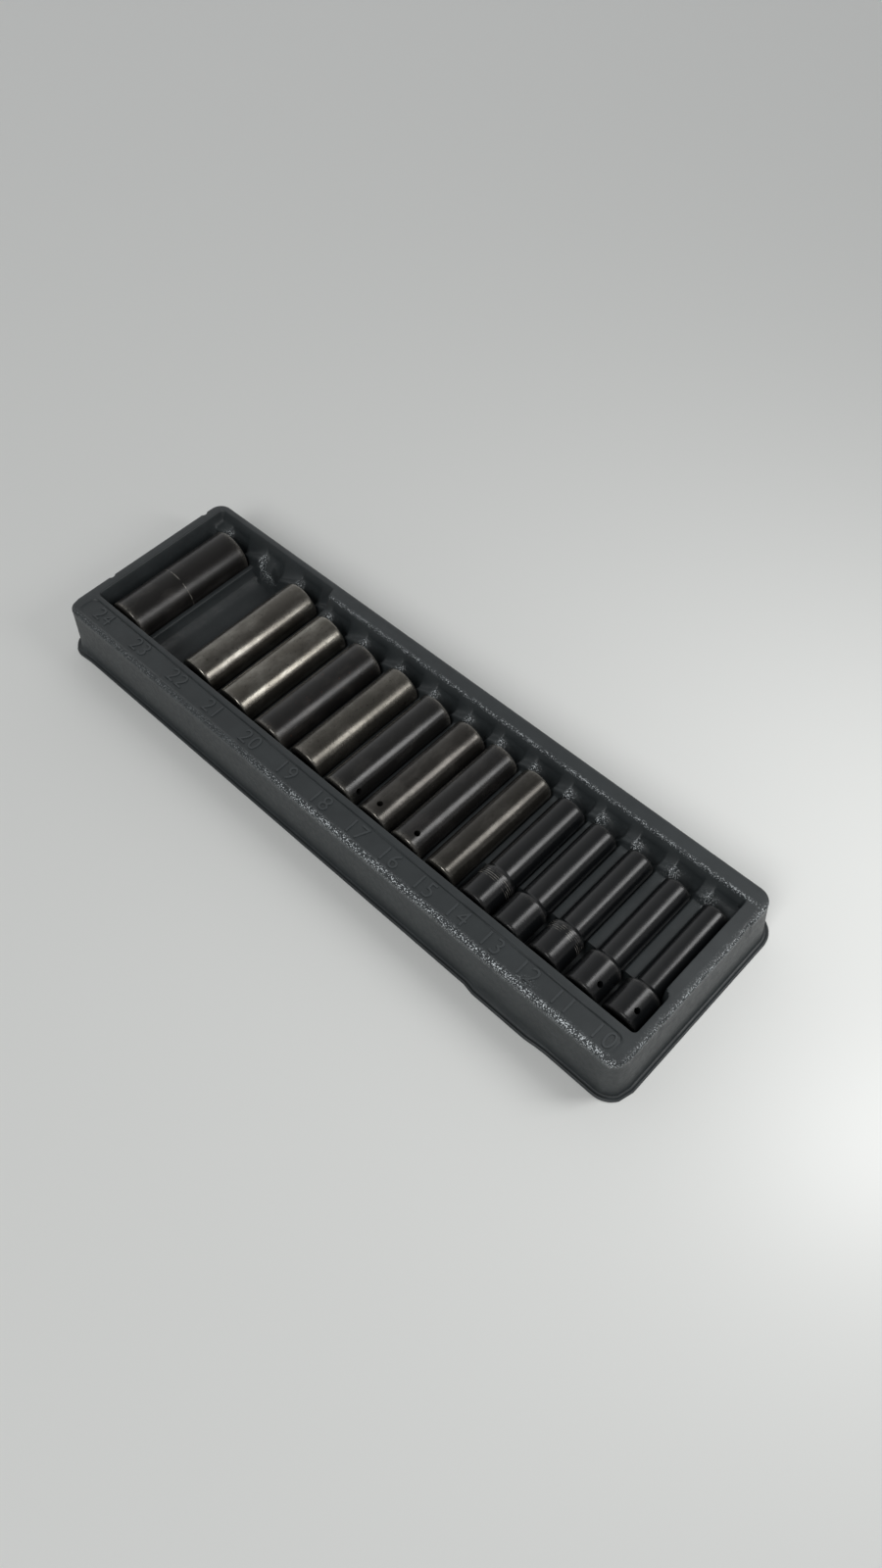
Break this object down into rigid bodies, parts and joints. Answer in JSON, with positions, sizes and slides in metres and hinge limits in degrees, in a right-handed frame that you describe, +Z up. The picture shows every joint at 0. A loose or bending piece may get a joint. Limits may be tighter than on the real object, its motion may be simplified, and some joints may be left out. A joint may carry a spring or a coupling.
{
  "type": "socket organizer tray",
  "caption": "Shallow vacuum-formed plastic tray with a row of cradles that hold deep impact sockets side by side, each lifting straight out.",
  "frame": {"origin": "centre of the tray's outline, on the surface that its flange rests on", "axes": "+X along the row from the largest socket to the smallest, +Y from the numbered front rim to the back, +Z up"},
  "size_m": [0.495, 0.1512, 0.038],
  "materials": {
    "tray_plastic": "dark slate-grey vacuum-formed sheet with a fine haircell grain",
    "phosphate_black": "black phosphated and oiled forged steel, ends worn bright",
    "phosphate_brown": "phosphated forged steel, browned and worn, with rust specks",
    "worn_steel": "forged steel with its black coating worn away to a dull silver brown"
  },
  "bodies": {
    "tray": {"tray": "tray_plastic"},
    "socket_24": {"socket_24": "phosphate_brown"},
    "socket_22": {"socket_22": "worn_steel"},
    "socket_21": {"socket_21": "worn_steel"},
    "socket_20": {"socket_20": "phosphate_black"},
    "socket_19": {"socket_19": "phosphate_brown"},
    "socket_18": {"socket_18": "phosphate_black"},
    "socket_17": {"socket_17": "phosphate_brown"},
    "socket_16": {"socket_16": "phosphate_black"},
    "socket_15": {"socket_15": "phosphate_brown"},
    "socket_14": {"socket_14": "phosphate_black"},
    "socket_13": {"socket_13": "phosphate_black"},
    "socket_12": {"socket_12": "phosphate_black"},
    "socket_11": {"socket_11": "phosphate_black"},
    "socket_10": {"socket_10": "phosphate_black"}
  },
  "joints": [
    {"name": "lift_24", "type": "slide", "parent": "tray", "child": "socket_24", "axis": [0, 0, 1], "range_m": [0, 0.045]},
    {"name": "lift_22", "type": "slide", "parent": "tray", "child": "socket_22", "axis": [0, 0, 1], "range_m": [0, 0.045]},
    {"name": "lift_21", "type": "slide", "parent": "tray", "child": "socket_21", "axis": [0, 0, 1], "range_m": [0, 0.045]},
    {"name": "lift_20", "type": "slide", "parent": "tray", "child": "socket_20", "axis": [0, 0, 1], "range_m": [0, 0.045]},
    {"name": "lift_19", "type": "slide", "parent": "tray", "child": "socket_19", "axis": [0, 0, 1], "range_m": [0, 0.045]},
    {"name": "lift_18", "type": "slide", "parent": "tray", "child": "socket_18", "axis": [0, 0, 1], "range_m": [0, 0.045]},
    {"name": "lift_17", "type": "slide", "parent": "tray", "child": "socket_17", "axis": [0, 0, 1], "range_m": [0, 0.045]},
    {"name": "lift_16", "type": "slide", "parent": "tray", "child": "socket_16", "axis": [0, 0, 1], "range_m": [0, 0.045]},
    {"name": "lift_15", "type": "slide", "parent": "tray", "child": "socket_15", "axis": [0, 0, 1], "range_m": [0, 0.045]},
    {"name": "lift_14", "type": "slide", "parent": "tray", "child": "socket_14", "axis": [0, 0, 1], "range_m": [0, 0.045]},
    {"name": "lift_13", "type": "slide", "parent": "tray", "child": "socket_13", "axis": [0, 0, 1], "range_m": [0, 0.045]},
    {"name": "lift_12", "type": "slide", "parent": "tray", "child": "socket_12", "axis": [0, 0, 1], "range_m": [0, 0.045]},
    {"name": "lift_11", "type": "slide", "parent": "tray", "child": "socket_11", "axis": [0, 0, 1], "range_m": [0, 0.045]},
    {"name": "lift_10", "type": "slide", "parent": "tray", "child": "socket_10", "axis": [0, 0, 1], "range_m": [0, 0.045]}
  ]
}
